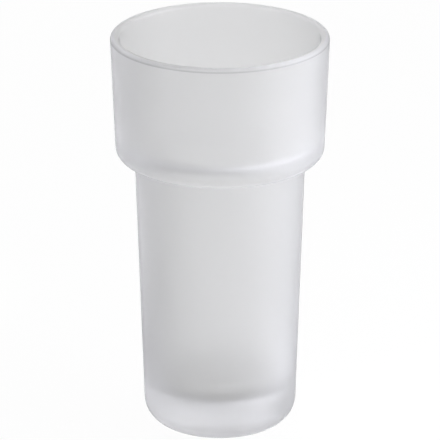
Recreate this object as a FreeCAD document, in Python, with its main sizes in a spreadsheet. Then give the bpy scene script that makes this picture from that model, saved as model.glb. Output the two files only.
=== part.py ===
"""Bathroom tumbler: one piece of satin-etched glass, standing on the origin with +Z up.

A slim tapered well carries a wider drinking cup. Where the two meet, the wall steps out into a
shoulder, so that the tumbler can hang in a ring-shaped holder as well as stand on a shelf.
The whole glass is a body of revolution about Z, in millimetres.
"""

import FreeCAD
import Part
import os
import Sketcher

NODE = "tumbler_glass"
FULL_TURN = 360
ZERO = "0"
SAME_PLACE = 0.001
CUBIC_MM_PER_ML = 1000.0

# Driving dimensions: alias, value in millimetres, what it measures
SIZES = [
    ("shoulder_height", 82.5, "standing face to the underside of the shoulder"),
    ("cup_height", 37.5, "underside of the shoulder to the top of the rim"),
    ("rim_diameter", 64.0, "outside of the cup at the rim"),
    ("neck_diameter", 50.0, "outside of the well just under the shoulder"),
    ("base_diameter", 44.5, "outside of the well at the standing face, before rounding"),
    ("shoulder_width", 5.5, "how far the shoulder stands out from the neck, before rounding"),
    ("rim_wall", 2.6, "thickness of the cup's wall at the rim"),
    ("collar_wall", 2.8, "thickness of the cup's wall at the shoulder"),
    ("neck_wall", 2.8, "thickness of the well's wall at the neck"),
    ("foot_wall", 3.8, "thickness of the well's wall at its floor"),
    ("shoulder_thickness", 4.0, "underside of the shoulder to the shelf inside the cup"),
    ("floor_thickness", 6.0, "standing face to the floor of the well"),
    ("rim_flat", 0.2, "flat left on top of the fire-polished rim, between its roundings"),
    ("shoulder_round", 4.0, "outer rounding of the shoulder"),
    ("neck_round", 0.6, "hollow rounding where the shoulder meets the neck"),
    ("base_round", 7.5, "outer rounding of the base"),
    ("cup_round", 4.4, "hollow rounding between the cup's wall and the shelf"),
    ("shelf_round", 0.9, "rounding of the shelf's lip over the well"),
    ("floor_round", 12.0, "hollow rounding of the well's floor"),
    ("standing_ring", 2.5, "width of the ring that the tumbler stands on"),
    ("punt_depth", 1.0, "depth of the shallow hollow inside the standing ring"),
]

# Heights above the standing face
RIM_HEIGHT = "(Sizes.shoulder_height + Sizes.cup_height)"
SHELF_HEIGHT = "(Sizes.shoulder_height + Sizes.shoulder_thickness)"

# Distances of the outside from the axis
BASE_RADIUS = "Sizes.base_diameter / 2"
NECK_RADIUS = "Sizes.neck_diameter / 2"
COLLAR_RADIUS = "(Sizes.neck_diameter / 2 + Sizes.shoulder_width)"
RIM_RADIUS = "Sizes.rim_diameter / 2"

# Distances of the inside from the axis: the outside less the wall at that height
WELL_TAPER = "(Sizes.neck_diameter - Sizes.base_diameter) / 2 / Sizes.shoulder_height"
FLOOR_RADIUS = f"({BASE_RADIUS} + {WELL_TAPER} * Sizes.floor_thickness - Sizes.foot_wall)"
WELL_RADIUS = f"({NECK_RADIUS} - Sizes.neck_wall)"
CUP_RADIUS = f"({COLLAR_RADIUS} - Sizes.collar_wall)"
MOUTH_RADIUS = f"({RIM_RADIUS} - Sizes.rim_wall)"
SHELF_WIDTH = f"({CUP_RADIUS} - {WELL_RADIUS})"

# Roundings, each held within the face that it rounds
RIM_ROUND = "(Sizes.rim_wall - Sizes.rim_flat) / 2"
SHOULDER_ROUND = "min(Sizes.shoulder_round; 0.75 * Sizes.shoulder_width)"
NECK_ROUND = "min(Sizes.neck_round; 0.2 * Sizes.shoulder_width)"
BASE_ROUND = f"min(Sizes.base_round; 0.6 * {BASE_RADIUS})"
CUP_ROUND = f"min(Sizes.cup_round; 0.81 * {SHELF_WIDTH})"
SHELF_ROUND = f"min(Sizes.shelf_round; 0.17 * {SHELF_WIDTH})"
FLOOR_ROUND = f"min(Sizes.floor_round; 0.8 * {FLOOR_RADIUS})"

# The hollow under the base, inside the standing ring
PUNT_RADIUS = f"({BASE_RADIUS} - {BASE_ROUND} - Sizes.standing_ring)"


def make_sheet(doc):
    """A spreadsheet with a row for each driving dimension: its name, its value and a note."""
    sheet = doc.addObject("Spreadsheet::Sheet", "Sizes")
    for row, (alias, value, note) in enumerate(SIZES, start=1):
        sheet.set(f"A{row}", alias)
        sheet.set(f"B{row}", str(value))
        sheet.set(f"C{row}", note)
        sheet.setAlias(f"B{row}", alias)
    doc.recompute()
    return sheet


def new_sketch(body, name):
    """An empty sketch on the body's XZ plane, with the body's Z axis upright in it."""
    sketch = body.newObject("Sketcher::SketchObject", name)
    upright = next(item for item in body.Origin.OriginFeatures if item.Role == "XZ_Plane")
    sketch.AttachmentSupport = [(upright, "")]
    sketch.MapMode = "FlatFace"
    return sketch


def place(sheet, radius, height):
    """The point of a half section at a distance from the axis and a height, both expressions."""
    return FreeCAD.Vector(float(sheet.evalExpression(radius)), float(sheet.evalExpression(height)), 0)


def bind_start(sketch, edge, point, name, radius, height):
    """Ties the start of an edge to its distance from the axis and its height above the base."""
    for measure, kind, in_line, value, expression in (
        ("radius", "DistanceX", "Vertical", point.x, radius),
        ("height", "DistanceY", "Horizontal", point.y, height),
    ):
        if expression == ZERO:
            sketch.addConstraint(Sketcher.Constraint(in_line, -1, 1, edge, 1))
        else:
            index = sketch.addConstraint(Sketcher.Constraint(kind, -1, 1, edge, 1, value))
            sketch.renameConstraint(index, f"{name}_{measure}")
            sketch.setExpression(f"Constraints.{name}_{measure}", expression)


def close_outline(sketch, edges):
    """Joins each edge's end to the next edge's start, right round."""
    for edge in range(edges):
        sketch.addConstraint(Sketcher.Constraint("Coincident", edge, 2, (edge + 1) % edges, 1))


def half_section(body, sheet, name, corners):
    """A closed outline of straight walls beside the axis, from (name, radius, height) corners."""
    sketch = new_sketch(body, name)
    points = [place(sheet, radius, height) for _, radius, height in corners]
    for start, end in zip(points, points[1:] + points[:1]):
        sketch.addGeometry(Part.LineSegment(start, end), False)
    close_outline(sketch, len(corners))
    for line, (corner, radius, height) in enumerate(corners):
        bind_start(sketch, line, points[line], corner, radius, height)
    return sketch


def turn(doc, body, kind, name, sketch):
    """Turns an outline right round the axis, as glass or as a cut that must take some away."""
    before = 0.0 if body.Shape.isNull() else body.Shape.Volume
    feature = body.newObject(f"PartDesign::{kind}", name)
    feature.Profile = sketch
    feature.ReferenceAxis = (sketch, ["V_Axis"])
    feature.Angle = FULL_TURN
    doc.recompute()
    change = feature.Shape.Volume - before
    if (change > 0) != (kind == "Revolution"):
        raise RuntimeError(f"{name} changed the glass by {change:.1f} mm3, the wrong way")
    return abs(change)


def round_ring(doc, body, sheet, name, ring, rounding):
    """Rounds the circular edge that lies at a distance from the axis and a height."""
    target = place(sheet, *ring)
    base = body.Tip
    names = []
    for number, edge in enumerate(base.Shape.Edges, start=1):
        is_ring = isinstance(edge.Curve, Part.Circle) and abs(edge.Curve.Center.z - target.y) < SAME_PLACE
        if is_ring and abs(edge.Curve.Radius - target.x) < SAME_PLACE:
            names.append(f"Edge{number}")
    if len(names) != 1:
        raise RuntimeError(f"{name}: {len(names)} edges found at {target}")
    fillet = body.newObject("PartDesign::Fillet", name)
    fillet.Base = (base, names)
    fillet.setExpression("Radius", rounding)
    doc.recompute()


def make_outside(doc, body, sheet):
    """The solid of the outside: tapered well, shoulder and slightly flared cup."""
    outline = half_section(body, sheet, "outside_outline", [
        ("bottom", ZERO, ZERO),
        ("base", BASE_RADIUS, ZERO),
        ("neck", NECK_RADIUS, "Sizes.shoulder_height"),
        ("collar", COLLAR_RADIUS, "Sizes.shoulder_height"),
        ("rim", RIM_RADIUS, RIM_HEIGHT),
        ("top", ZERO, RIM_HEIGHT),
    ])
    turn(doc, body, "Revolution", "outside", outline)
    round_ring(doc, body, sheet, "base_edge", (BASE_RADIUS, ZERO), BASE_ROUND)
    round_ring(doc, body, sheet, "neck_corner", (NECK_RADIUS, "Sizes.shoulder_height"), NECK_ROUND)
    round_ring(doc, body, sheet, "shoulder_edge", (COLLAR_RADIUS, "Sizes.shoulder_height"), SHOULDER_ROUND)


def make_inside(doc, body, sheet):
    """The hollow that is filled: the well, the shelf behind the shoulder and the cup over it."""
    outline = half_section(body, sheet, "inside_outline", [
        ("floor_centre", ZERO, "Sizes.floor_thickness"),
        ("floor", FLOOR_RADIUS, "Sizes.floor_thickness"),
        ("well", WELL_RADIUS, SHELF_HEIGHT),
        ("cup", CUP_RADIUS, SHELF_HEIGHT),
        ("mouth", MOUTH_RADIUS, RIM_HEIGHT),
        ("mouth_centre", ZERO, RIM_HEIGHT),
    ])
    volume = turn(doc, body, "Groove", "inside", outline)
    print(f"filled to the brim, before rounding: {volume / CUBIC_MM_PER_ML:.0f} ml")
    round_ring(doc, body, sheet, "floor_corner", (FLOOR_RADIUS, "Sizes.floor_thickness"), FLOOR_ROUND)
    round_ring(doc, body, sheet, "shelf_lip", (WELL_RADIUS, SHELF_HEIGHT), SHELF_ROUND)
    round_ring(doc, body, sheet, "cup_corner", (CUP_RADIUS, SHELF_HEIGHT), CUP_ROUND)


def make_rim(doc, body, sheet):
    """The fire-polished rim: rounded outside and inside."""
    round_ring(doc, body, sheet, "rim_outer_edge", (RIM_RADIUS, RIM_HEIGHT), RIM_ROUND)
    round_ring(doc, body, sheet, "rim_inner_edge", (MOUTH_RADIUS, RIM_HEIGHT), RIM_ROUND)


def make_punt(doc, body, sheet):
    """The shallow domed hollow under the base, which leaves a ring to stand on."""
    sketch = new_sketch(body, "punt_outline")
    centre = place(sheet, ZERO, ZERO)
    edge = place(sheet, PUNT_RADIUS, ZERO)
    crown = place(sheet, ZERO, "Sizes.punt_depth")
    dome_radius = (edge.x ** 2 + crown.y ** 2) / (2 * crown.y)
    dome_centre = FreeCAD.Vector(0, crown.y - dome_radius, 0)
    half_way = ((edge + crown) / 2 - dome_centre).normalize() * dome_radius + dome_centre
    sketch.addGeometry(Part.LineSegment(centre, edge), False)
    dome = sketch.addGeometry(Part.Arc(edge, half_way, crown), False)
    sketch.addGeometry(Part.LineSegment(crown, centre), False)
    close_outline(sketch, 3)
    sketch.addConstraint(Sketcher.Constraint("Vertical", -1, 1, dome, 3))
    bind_start(sketch, 0, centre, "centre", ZERO, ZERO)
    bind_start(sketch, 1, edge, "edge", PUNT_RADIUS, ZERO)
    bind_start(sketch, 2, crown, "crown", ZERO, "Sizes.punt_depth")
    turn(doc, body, "Groove", "punt", sketch)


def main():
    doc = FreeCAD.newDocument("bathroom_tumbler")
    sheet = make_sheet(doc)
    body = doc.addObject("PartDesign::Body", "Glass")
    body.Label = NODE
    make_outside(doc, body, sheet)
    make_inside(doc, body, sheet)
    make_rim(doc, body, sheet)
    make_punt(doc, body, sheet)
    doc.recompute()
    faulty = [item.Name for item in doc.Objects if "Invalid" in item.State or "Error" in item.State]
    if faulty or body.Shape.isNull() or not body.Shape.isValid():
        raise RuntimeError(f"the glass is not sound: {faulty}")
    print(f"{body.Label}: {len(body.Shape.Solids)} solid, {body.Shape.Volume / CUBIC_MM_PER_ML:.1f} ml of glass")
    os.makedirs("parts", exist_ok=True)
    body.Shape.exportStep(f"parts/{body.Label}.step")


main()
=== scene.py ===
# %% [markdown]
# # A satin glass tumbler
#
# The object is a bathroom tumbler: a slim tapered well with a thick base, and a wider drinking cup
# on top of it. It is one piece of glass, etched to a fine satin inside and out. In this lesson we
# draw half of its section as a line, round the corners, turn the line once round the upright axis,
# and then spend our time on what glass really lives from: its satin surface and the light round it.

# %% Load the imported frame
import math
import bpy
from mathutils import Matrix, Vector


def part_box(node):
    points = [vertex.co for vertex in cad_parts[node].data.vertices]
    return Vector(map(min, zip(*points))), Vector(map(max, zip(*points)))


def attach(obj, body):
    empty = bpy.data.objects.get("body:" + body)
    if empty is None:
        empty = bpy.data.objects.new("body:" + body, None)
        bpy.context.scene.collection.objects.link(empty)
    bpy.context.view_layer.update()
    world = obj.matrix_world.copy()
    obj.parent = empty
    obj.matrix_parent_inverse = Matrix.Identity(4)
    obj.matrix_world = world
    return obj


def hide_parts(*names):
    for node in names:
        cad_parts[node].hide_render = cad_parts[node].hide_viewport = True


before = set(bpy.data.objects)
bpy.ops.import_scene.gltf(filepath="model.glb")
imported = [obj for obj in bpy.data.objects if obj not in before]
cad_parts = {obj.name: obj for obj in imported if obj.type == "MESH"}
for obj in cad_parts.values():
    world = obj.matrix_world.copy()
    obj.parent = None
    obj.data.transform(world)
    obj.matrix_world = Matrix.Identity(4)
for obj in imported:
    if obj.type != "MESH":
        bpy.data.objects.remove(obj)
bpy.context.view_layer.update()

NODE = "tumbler_glass"
low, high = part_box(NODE)
RIM_DIAMETER = high.x - low.x
HEIGHT = high.z
print(f"CAD glass: {RIM_DIAMETER * 1000:.1f} mm across the rim, {HEIGHT * 1000:.1f} mm tall")

# %% [markdown]
# ## The camera
#
# The photograph looks down at the glass by about twenty degrees through a long lens, so the walls
# hardly converge. A camera can be found by trial, but its distance, height and lens also follow
# from the ellipse of the rim and the bottom curve of the base, and that is where these numbers
# come from. It stands level in the X axis, straight in front of the glass.

# %% Place the camera
LOOK_DOWN = math.radians(20.343)
CAMERA_PLACE = (0.0, -1.3260, 0.5543)
LENS_MM = 392.96
SENSOR_MM = 36.0

camera_data = bpy.data.cameras.new("camera")
camera_data.lens = LENS_MM
camera_data.sensor_width = SENSOR_MM
camera = bpy.data.objects.new("camera", camera_data)
camera.location = CAMERA_PLACE
camera.rotation_euler = (math.pi / 2 - LOOK_DOWN, 0.0, 0.0)
bpy.context.scene.collection.objects.link(camera)
bpy.context.scene.camera = camera
print(f"camera {math.hypot(*CAMERA_PLACE):.2f} m away")
print(f"looking down {math.degrees(LOOK_DOWN):.1f} degrees")

# %% [markdown]
# ## The floor
#
# The glass stands on a white table that the picture shows as plain white. A white diffuse plane is
# all it takes. For the camera it is lifted nearly to white by Light Path, and a little of its plain
# shading stays, so the glass keeps a trace of its shadow. Rays that have been through the glass see
# a smaller share of that white, because satin glass shows the table it stands on. Close to the foot
# the share is larger: a painted glow on the table, in place of light the thick base gathers there.

# %% Make the floor
FLOOR_SIZE = 5.0
FLOOR_GAP = 0.0003

bpy.ops.object.select_all(action="DESELECT")
bpy.ops.mesh.primitive_plane_add(size=FLOOR_SIZE, location=(0, 0, -FLOOR_GAP))
floor = bpy.context.object
floor.name = "floor"
bpy.ops.object.transform_apply(location=True)
print(f"floor {FLOOR_SIZE:.0f} m wide, {FLOOR_GAP * 1000:.1f} mm under the glass")

# %% Helpers for node trees


def new_material(name):
    """A material with an empty node tree, and its tree."""
    material = bpy.data.materials.new(name)
    material.use_nodes = True
    material.node_tree.nodes.clear()
    return material, material.node_tree


def add(tree, kind, **sockets):
    """A node of a kind, with the inputs that are named set to plain values."""
    node = tree.nodes.new(kind)
    for socket, value in sockets.items():
        node.inputs[socket.replace("_", " ")].default_value = value
    return node


def maths(tree, operation, *values):
    """The result of a Math node, whose inputs are numbers or other nodes' outputs."""
    node = tree.nodes.new("ShaderNodeMath")
    node.operation = operation
    for socket, value in zip(node.inputs, values):
        if isinstance(value, bpy.types.NodeSocket):
            tree.links.new(value, socket)
        else:
            socket.default_value = value
    return node.outputs[0]


def background_share(tree, for_camera, for_glass):
    """How much of the white background a ray shows: one share for the camera, one through glass."""
    rays = add(tree, "ShaderNodeLightPath").outputs
    through = maths(tree, "MAXIMUM", rays["Is Glossy Ray"], rays["Is Transmission Ray"])
    dimmed = maths(tree, "MULTIPLY", through, for_glass)
    return maths(tree, "MULTIPLY_ADD", rays["Is Camera Ray"], for_camera, dimmed)


print("helpers for node trees ready")

# %% Paint the floor white
FLOOR_WHITE = 0.85
FLOOR_COLOUR = (FLOOR_WHITE, FLOOR_WHITE, FLOOR_WHITE, 1.0)
CAMERA_LIFT = 0.97
GLASS_LIFT = 0.45
# painted glow: a larger share of white on the table close to the foot, seen only through the glass
FOOT_PAINTED_GLOW = 0.60
PAINTED_GLOW_RADIUS = 0.024
PAINTED_GLOW_FADE = 0.050

table_white, tree = new_material("table_white")
paint = add(tree, "ShaderNodeBsdfDiffuse", Color=FLOOR_COLOUR)
white = add(tree, "ShaderNodeEmission", Strength=1.0)
mix = add(tree, "ShaderNodeMixShader")
output = add(tree, "ShaderNodeOutputMaterial")
place = add(tree, "ShaderNodeTexCoord")
reach = tree.nodes.new("ShaderNodeVectorMath")
reach.operation = "LENGTH"
# share of white seen through the glass, raised close to the foot as a painted glow
lift = add(
    tree, "ShaderNodeMapRange",
    From_Min=PAINTED_GLOW_RADIUS, From_Max=PAINTED_GLOW_FADE, To_Min=FOOT_PAINTED_GLOW, To_Max=GLASS_LIFT,
)
tree.links.new(place.outputs["Object"], reach.inputs[0])
tree.links.new(reach.outputs["Value"], lift.inputs["Value"])
tree.links.new(background_share(tree, CAMERA_LIFT, lift.outputs["Result"]), mix.inputs["Fac"])
tree.links.new(paint.outputs[0], mix.inputs[1])
tree.links.new(white.outputs[0], mix.inputs[2])
tree.links.new(mix.outputs[0], output.inputs["Surface"])
floor.data.materials.append(table_white)
print(f"the glass shows {GLASS_LIFT:.0%} of the table's white, and {FOOT_PAINTED_GLOW:.0%} at its foot")

# %% [markdown]
# ## Soft studio light
#
# Satin glass has no colour of its own; it shows a blurred picture of the room. So the room is the
# most important part of the finish: panels close by on the right and above there, three wide soft
# ones high at the back, and none straight in front. Light from the sides is a little cooler than
# light from behind, as by a window, and gives the edges of the glass their breath of blue. Each panel
# is given by the way it lies from the glass, its size, its brightness and its colour, and faces the
# middle of the glass.
#
# A bright panel is also seen straight through the glass from the other side, and would wash it out
# there. So the glass shows the two brightest ones only as reflections, while they still light the
# table, and dimmer ones hang beside them for the light that goes through.

# %% Hang the panels
MIDDLE = Vector((0.0, 0.0, HEIGHT / 2))
WHITE = (1.0, 1.0, 1.0)
COOL = (0.95, 0.955, 1.0)
# name: azimuth (from the camera's side to the right) and elevation in degrees,
# distance, width and height in metres, brightness, colour
PANELS = {
    "key": (85, 8, 0.22, 0.24, 0.22, 4.10, COOL),
    "key_front": (50, 8, 0.28, 0.16, 0.22, 3.80, COOL),
    "side_front": (50, 8, 0.30, 0.15, 0.24, 0.45, COOL),
    "side": (80, 8, 0.30, 0.15, 0.24, 0.45, COOL),
    "side_back": (110, 8, 0.30, 0.15, 0.24, 0.45, COOL),
    "side_high": (75, 38, 0.40, 0.26, 0.26, 0.95, COOL),
    "side_back_high": (112, 38, 0.40, 0.26, 0.26, 0.95, COOL),
    "back_high": (185, 42, 0.80, 0.90, 0.50, 1.15, WHITE),
    "back_right_high": (140, 40, 0.80, 0.50, 0.40, 1.90, WHITE),
    "back_left_high": (220, 40, 0.80, 0.50, 0.40, 2.10, COOL),
}
# panels that the glass shows only as reflections
MIRRORED = {"key", "key_front"}


def hang_panel(name, azimuth, elevation, distance, width, height, brightness, colour):
    """A rectangular area lamp that faces the middle of the glass."""
    turn, rise = math.radians(azimuth), math.radians(elevation)
    way = Vector((math.sin(turn) * math.cos(rise), -math.cos(turn) * math.cos(rise), math.sin(rise)))
    lamp = bpy.data.lights.new(name, "AREA")
    lamp.shape = "RECTANGLE"
    lamp.size = width
    lamp.size_y = height
    lamp.energy = math.pi * width * height * brightness
    lamp.color = colour
    panel = bpy.data.objects.new(name, lamp)
    panel.location = MIDDLE + way * distance
    panel.rotation_euler = (-way).to_track_quat("-Z", "Y").to_euler()
    panel.visible_camera = False
    panel.visible_transmission = name not in MIRRORED
    bpy.context.scene.collection.objects.link(panel)


for name, values in PANELS.items():
    hang_panel(name, *values)
print(f"{len(PANELS)} soft panels")

# %% [markdown]
# ## Light on the table
#
# The camera looks down, so most of what the walls mirror and bend is not a lamp but the table. The
# bright streak on the right of the glass, and the glint on its shoulder, owe much to pools of light
# on the table next to it. A spot lamp straight over the table makes one: its cone sets the width of
# the pool, and its brightness is chosen for the paint of the table.

# %% Light pools beside the glass
SPOT_HEIGHT = 0.6
SPOT_SOFTNESS = 0.6
SPOT_BULB = 0.02
# name: place on the table in X and Y and radius in metres, brightness
POOLS = {
    "pool_right": (0.080, -0.015, 0.06, 0.75),
    "pool_right_out": (0.170, -0.030, 0.08, 0.85),
    "pool_front": (0.100, -0.080, 0.05, 0.48),
    "pool_left_back": (-0.200, 0.200, 0.12, 1.20),
    "pool_left": (-0.120, 0.100, 0.05, 1.00),
}


def light_pool(name, x, y, radius, brightness):
    """A spot lamp over the table that points straight down."""
    lamp = bpy.data.lights.new(name, "SPOT")
    lamp.spot_size = 2 * math.atan(radius / SPOT_HEIGHT)
    lamp.spot_blend = SPOT_SOFTNESS
    lamp.shadow_soft_size = SPOT_BULB
    lamp.energy = 4 * math.pi ** 2 * SPOT_HEIGHT ** 2 * brightness / FLOOR_WHITE
    lamp.color = COOL
    spot = bpy.data.objects.new(name, lamp)
    spot.location = (x, y, SPOT_HEIGHT)
    bpy.context.scene.collection.objects.link(spot)


for name, values in POOLS.items():
    light_pool(name, *values)
print(f"{len(POOLS)} pools of light on the table")

# %% [markdown]
# ## The room
#
# Behind the table is white paper. The camera sees it as it is, the glass shows it dimmer, and it
# sheds no light of its own, so the lamps alone decide how bright the table is.

# %% White behind
ROOM_LIFT = 0.62
room = bpy.data.worlds.new("room")
bpy.context.scene.world = room
room.use_nodes = True
tree = room.node_tree
tree.nodes.clear()
paper = add(tree, "ShaderNodeBackground", Color=(*WHITE, 1.0))
output = add(tree, "ShaderNodeOutputWorld")
tree.links.new(background_share(tree, 1.0, ROOM_LIFT), paper.inputs["Strength"])
tree.links.new(paper.outputs[0], output.inputs["Surface"])
bpy.context.scene.view_settings.view_transform = "Standard"
print(f"white room, {ROOM_LIFT:.0%} of it seen through the glass")

# %% [markdown]
# ## Half the section
#
# On the real glass a mould forms the outside and a plunger the hollow. Both are round, so half of
# the section says all there is to say. We start with one point on the axis, at the crown of the
# shallow hollow under the base, and extrude it from corner to corner: out along the base, up the
# well, out at the shoulder, up the cup, over the rim and down the inside to the middle of the floor.
# A lathe-like line is quicker to check than a stack of cylinders, and nothing has to be joined later.

# %% Sizes of the section, in metres
SHOULDER_HEIGHT = 0.0825
SHOULDER_THICKNESS = 0.0040
SHELF_HEIGHT = SHOULDER_HEIGHT + SHOULDER_THICKNESS
FLOOR_HEIGHT = 0.0060
PUNT_DEPTH = 0.0010
RIM_RADIUS = 0.0320
NECK_RADIUS = 0.0250
BASE_RADIUS = 0.02225
SHOULDER_WIDTH = 0.0055
COLLAR_RADIUS = NECK_RADIUS + SHOULDER_WIDTH
RIM_WALL = 0.0026
RIM_FLAT = 0.0002
RIM_ROUND = (RIM_WALL - RIM_FLAT) / 2
MOUTH_RADIUS = RIM_RADIUS - RIM_WALL
WALL = 0.0028
CUP_RADIUS = COLLAR_RADIUS - WALL
WELL_RADIUS = NECK_RADIUS - WALL
FOOT_WALL = 0.0038
WELL_TAPER = (NECK_RADIUS - BASE_RADIUS) / SHOULDER_HEIGHT
FLOOR_RADIUS = BASE_RADIUS + WELL_TAPER * FLOOR_HEIGHT - FOOT_WALL
BASE_ROUND = 0.0075
NECK_ROUND = 0.0006
SHOULDER_ROUND = 0.0040
CUP_ROUND = 0.0044
SHELF_ROUND = 0.0009
FLOOR_ROUND = 0.0120
STANDING_RING = 0.0025
PUNT_RADIUS = BASE_RADIUS - BASE_ROUND - STANDING_RING

# corner of the section: radius, height, rounding
SECTION = [
    (BASE_RADIUS, 0.0, BASE_ROUND),
    (NECK_RADIUS, SHOULDER_HEIGHT, NECK_ROUND),
    (COLLAR_RADIUS, SHOULDER_HEIGHT, SHOULDER_ROUND),
    (RIM_RADIUS, HEIGHT, RIM_ROUND),
    (MOUTH_RADIUS, HEIGHT, RIM_ROUND),
    (CUP_RADIUS, SHELF_HEIGHT, CUP_ROUND),
    (WELL_RADIUS, SHELF_HEIGHT, SHELF_ROUND),
    (FLOOR_RADIUS, FLOOR_HEIGHT, FLOOR_ROUND),
    (0.0, FLOOR_HEIGHT, 0.0),
]
print(f"{len(SECTION)} corners; the floor of the well is {FLOOR_RADIUS * 2000:.1f} mm across")

# %% One point, turned into the dome under the base
PUNT_STEPS = 12
bpy.ops.object.select_all(action="DESELECT")
bpy.ops.mesh.primitive_plane_add(size=PUNT_DEPTH, location=(0, 0, PUNT_DEPTH))
tumbler = bpy.context.object
tumbler.name = "tumbler"
tumbler.data.name = "tumbler"
bpy.ops.object.transform_apply(location=True)
bpy.ops.object.mode_set(mode="EDIT")
bpy.ops.mesh.select_all(action="SELECT")
bpy.ops.mesh.merge(type="CENTER")
dome_radius = (PUNT_RADIUS ** 2 + PUNT_DEPTH ** 2) / (2 * PUNT_DEPTH)
bpy.ops.mesh.spin(
    steps=PUNT_STEPS,
    angle=math.asin(PUNT_RADIUS / dome_radius),
    center=(0, 0, PUNT_DEPTH - dome_radius),
    axis=(0, -1, 0),
)
print(f"dome under the base: {PUNT_RADIUS * 2000:.1f} mm across, radius {dome_radius * 1000:.1f} mm")

# %% Extrude from corner to corner
here = Vector((PUNT_RADIUS, 0.0, 0.0))
for radius, height, _ in SECTION:
    there = Vector((radius, 0.0, height))
    bpy.ops.mesh.extrude_region_move(TRANSFORM_OT_translate={"value": there - here})
    here = there
bpy.ops.object.mode_set(mode="OBJECT")
print(f"line of {len(tumbler.data.vertices)} points")

# %% [markdown]
# ## Rounded corners
#
# Pressed glass has no sharp corner: the mould rounds the outside, the plunger the inside, and a
# flame melts the rim round. A vertex bevel does the same to the line. Each rounding is worked out
# from its radius and the angle of its corner, and gets enough steps to stay smooth in close-up.

# %% Bevel each corner by its radius
STEP_ANGLE = math.radians(3.5)
FEWEST_STEPS = 4
WELD = 1e-6


def select_points(test):
    """Selects, in object mode, the points of the line that pass a test of their place."""
    chosen = 0
    for edge in tumbler.data.edges:
        edge.select = False
    for point in tumbler.data.vertices:
        point.select = test(point.co)
        chosen += point.select
    return chosen


corners = [Vector((radius, 0.0, height)) for radius, height, _ in SECTION]
before = [Vector((PUNT_RADIUS, 0.0, 0.0))] + corners
for corner, previous, following, (_, _, rounding) in zip(corners, before, corners[1:], SECTION):
    turn = (corner - previous).angle(following - corner)
    found = select_points(lambda place: (place - corner).length < WELD)
    bpy.ops.object.mode_set(mode="EDIT")
    bpy.ops.mesh.bevel(
        affect="VERTICES",
        offset=rounding * math.tan(turn / 2),
        segments=max(FEWEST_STEPS, math.ceil(turn / STEP_ANGLE)),
        profile=0.5,
        clamp_overlap=False,
    )
    bpy.ops.object.mode_set(mode="OBJECT")
    print(
        f"corner at {corner.x * 1000:.1f}, {corner.z * 1000:.1f} mm: "
        f"{found} point, turn {math.degrees(turn):.0f} degrees"
    )

# %% Divide the straight walls
LONGEST_RUN = 0.004
bpy.ops.object.mode_set(mode="EDIT")
bpy.ops.mesh.select_mode(type="EDGE")
bpy.ops.object.mode_set(mode="OBJECT")


def edge_length(edge):
    """The length of an edge of the line."""
    first, second = (tumbler.data.vertices[index].co for index in edge.vertices)
    return (first - second).length


while max(edge_length(edge) for edge in tumbler.data.edges) > LONGEST_RUN:
    for point in tumbler.data.vertices:
        point.select = False
    for edge in tumbler.data.edges:
        edge.select = edge_length(edge) > LONGEST_RUN
    bpy.ops.object.mode_set(mode="EDIT")
    bpy.ops.mesh.subdivide(number_cuts=1)
    bpy.ops.object.mode_set(mode="OBJECT")
print(f"line of {len(tumbler.data.vertices)} points")

# %% [markdown]
# ## Once round the axis
#
# Spin turns the line into the glass. It leaves a stack of points on the axis and a seam where the
# last step meets the first, so doubles are merged, and only then are the faces turned outwards:
# glass that is inside out bends light the wrong way.

# %% Spin, weld and turn the faces outwards
SPIN_STEPS = 180
bpy.ops.object.mode_set(mode="EDIT")
bpy.ops.mesh.select_mode(type="VERT")
bpy.ops.mesh.select_all(action="SELECT")
bpy.ops.mesh.spin(steps=SPIN_STEPS, angle=2 * math.pi, center=(0, 0, 0), axis=(0, 0, 1))
bpy.ops.mesh.select_all(action="SELECT")
bpy.ops.mesh.remove_doubles(threshold=WELD)
bpy.ops.mesh.normals_make_consistent(inside=False)
bpy.ops.object.mode_set(mode="OBJECT")
bpy.ops.object.shade_smooth()
triangles = sum(len(face.vertices) - 2 for face in tumbler.data.polygons)
print(f"glass of {len(tumbler.data.polygons)} faces, {triangles} triangles")

# %% [markdown]
# ## Satin glass
#
# Acid bites the surface into a fine, even grain. Light still goes through, but every point sends it
# on in a narrow cone, so the far side of the glass melts into soft tones. The Principled shader does
# this with full transmission and a middling roughness, and a fine noise makes the grain uneven.

# %% Greys, and ramps up the glass
CLEAR = 0.97


def glass_grey(level, cast):
    """A grey with a cast: more blue than red where the cast is over zero, less where it is under."""
    return (level, level, level * (1.0 + cast), 1.0)


def by_height(tree, height, stops, paint):
    """A ramp up the glass: each stop is a height and a level, and paint turns a level into a colour."""
    rise = add(tree, "ShaderNodeMapRange", From_Max=HEIGHT)
    ramp = tree.nodes.new("ShaderNodeValToRGB")
    elements = ramp.color_ramp.elements
    elements[0].color = paint(stops[0][1])
    elements[1].color = paint(stops[-1][1])
    for place, level in stops:
        elements.new(place / HEIGHT).color = paint(level)
    tree.links.new(height, rise.inputs["Value"])
    tree.links.new(rise.outputs["Result"], ramp.inputs["Fac"])
    return ramp.outputs["Color"]


print(f"clear glass passes {CLEAR:.0%} of the light")

# %% A satin finish
GLASS_IOR = 1.5
GRAIN_SCALE = 2600.0
GRAIN_DETAIL = 2.0
GRAIN_SPREAD = 0.15


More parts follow.
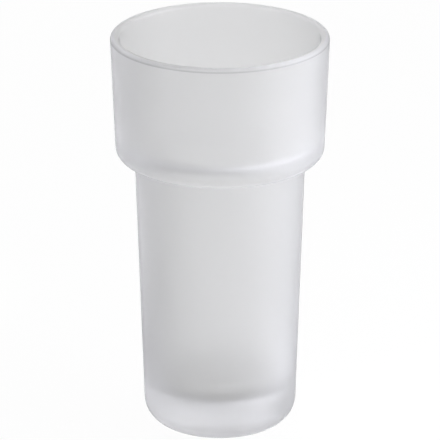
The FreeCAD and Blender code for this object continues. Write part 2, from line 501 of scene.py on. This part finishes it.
def satin(name, cast, etch, grey_and_shade_stops):
    """Etched glass of a cast, with stops up the height for its roughness and for its grey, which carries
    painted shade in the hollow and on the rim.
    """
    material, tree = new_material(name)
    shader = add(
        tree, "ShaderNodeBsdfPrincipled",
        Base_Color=glass_grey(CLEAR, cast), IOR=GLASS_IOR, Transmission_Weight=1.0,
    )
    output = add(tree, "ShaderNodeOutputMaterial")
    place = add(tree, "ShaderNodeTexCoord").outputs["Object"]
    height = add(tree, "ShaderNodeSeparateXYZ")
    grain = add(tree, "ShaderNodeTexNoise", Scale=GRAIN_SCALE, Detail=GRAIN_DETAIL)
    uneven = add(tree, "ShaderNodeMapRange", To_Min=1.0 - GRAIN_SPREAD, To_Max=1.0 + GRAIN_SPREAD)
    tree.links.new(place, grain.inputs["Vector"])
    tree.links.new(place, height.inputs[0])
    tree.links.new(grain.outputs["Fac"], uneven.inputs["Value"])
    bite = by_height(tree, height.outputs["Z"], etch, lambda level: (level, level, level, 1.0))
    tree.links.new(maths(tree, "MULTIPLY", uneven.outputs["Result"], bite), shader.inputs["Roughness"])
    # the grey up the glass, which also carries painted shade
    grey_and_shade = by_height(tree, height.outputs["Z"], grey_and_shade_stops, lambda level: glass_grey(level, cast))
    tree.links.new(grey_and_shade, shader.inputs["Base Color"])
    tree.links.new(shader.outputs[0], output.inputs["Surface"])
    tumbler.data.materials.append(material)


print(f"satin with a grain of about {1000 / GRAIN_SCALE:.1f} mm")

# %% [markdown]
# ## The outside
#
# The acid bath reaches the whole outside and etches it almost evenly. Round the shoulder the etch is
# coarser, which spreads the light there, and towards the foot the outside is a touch greyer.

# %% Finish of the outside
OUTSIDE_CAST = 0.030
# stops: height, roughness
OUTSIDE_ETCH = [(0.0140, 0.49), (0.0780, 0.48), (0.0830, 0.62), (0.0880, 0.62), (0.0930, 0.48)]
# stops: height, grey
OUTSIDE_GREYS = [(0.0080, 0.945), (0.0140, CLEAR)]
satin("satin_outside", OUTSIDE_CAST, OUTSIDE_ETCH, OUTSIDE_GREYS)
print("finish of the outside made")

# %% [markdown]
# ## The hollow
#
# Looked at through the wall, the bottom of the hollow is a dark crescent over a light base. The
# crescent is painted shade: stops up the height grey the hollow's surface towards its floor. The acid
# also bites less down there, and stops up the height make the etch finer. The painted grey acts only
# on light that passes through; what the base mirrors stays bright, and the crescent ends there. In
# the cup, above the shelf, the etch is a little finer than in the well.

# %% Finish of the hollow, with painted shade at its floor
HOLLOW_CAST = -0.028
# stops: height, roughness
HOLLOW_ETCH = [(0.0140, 0.14), (0.0300, 0.36), (0.0450, 0.50), (0.0780, 0.50), (0.0840, 0.40)]
# stops: height, grey; the dark greys near the floor are painted shade, the crescent
HOLLOW_GREYS_PAINTED_SHADE = [(0.0115, 0.50), (0.0140, 0.70), (0.0184, 0.93), (0.0600, CLEAR)]
satin("satin_inside_painted_shade", HOLLOW_CAST, HOLLOW_ETCH, HOLLOW_GREYS_PAINTED_SHADE)
print("finish of the hollow made")

# %% [markdown]
# ## The rim
#
# The outer edge of the rim is melted smooth in a flame after pressing, so it is glossier than the
# satin walls. Where its round edge runs into the wall, a fine dark line of painted shade runs round
# the mouth.

# %% Finish of the rim, with a painted dark line
RIM_START = HEIGHT - RIM_ROUND
# a fine dark line of painted shade greys the rim's round edge from its start up to these heights
RIM_PAINTED_LINE_TOP = HEIGHT - 0.0007
RIM_PAINTED_LINE_END = HEIGHT - 0.0005
RIM_ETCH = 0.36
RIM_PAINTED_SHADE_GREY = 0.55
satin(
    "polished_rim_painted_line", OUTSIDE_CAST,
    [(RIM_START, RIM_ETCH), (HEIGHT, RIM_ETCH)],
    [(RIM_START, RIM_PAINTED_SHADE_GREY), (RIM_PAINTED_LINE_TOP, RIM_PAINTED_SHADE_GREY), (RIM_PAINTED_LINE_END, CLEAR)],
)
print(f"finish of the rim made, from {RIM_START * 1000:.1f} mm up")

# %% A finish for every face
OUTSIDE, HOLLOW, RIM = range(3)


def finish_index(face):
    """The finish of a face: the rim's outer edge, the hollow, which looks to the axis or up, or outside."""
    out = Vector((face.center.x, face.center.y, 0.0))
    if face.center.z > RIM_START and out.length > RIM_RADIUS - RIM_WALL / 2:
        return RIM
    outward = face.normal.dot(out.normalized()) if out.length > WELD else 0.0
    return HOLLOW if face.normal.z > outward else OUTSIDE


for face in tumbler.data.polygons:
    face.material_index = finish_index(face)
finishes = [face.material_index for face in tumbler.data.polygons]
print(f"faces outside {finishes.count(OUTSIDE)}, in the hollow {finishes.count(HOLLOW)}")
print(f"faces on the rim's outer edge {finishes.count(RIM)}")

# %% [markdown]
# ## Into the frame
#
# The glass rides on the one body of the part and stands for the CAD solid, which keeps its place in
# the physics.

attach(tumbler, "root")
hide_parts(NODE)
print("tumbler rides on root")
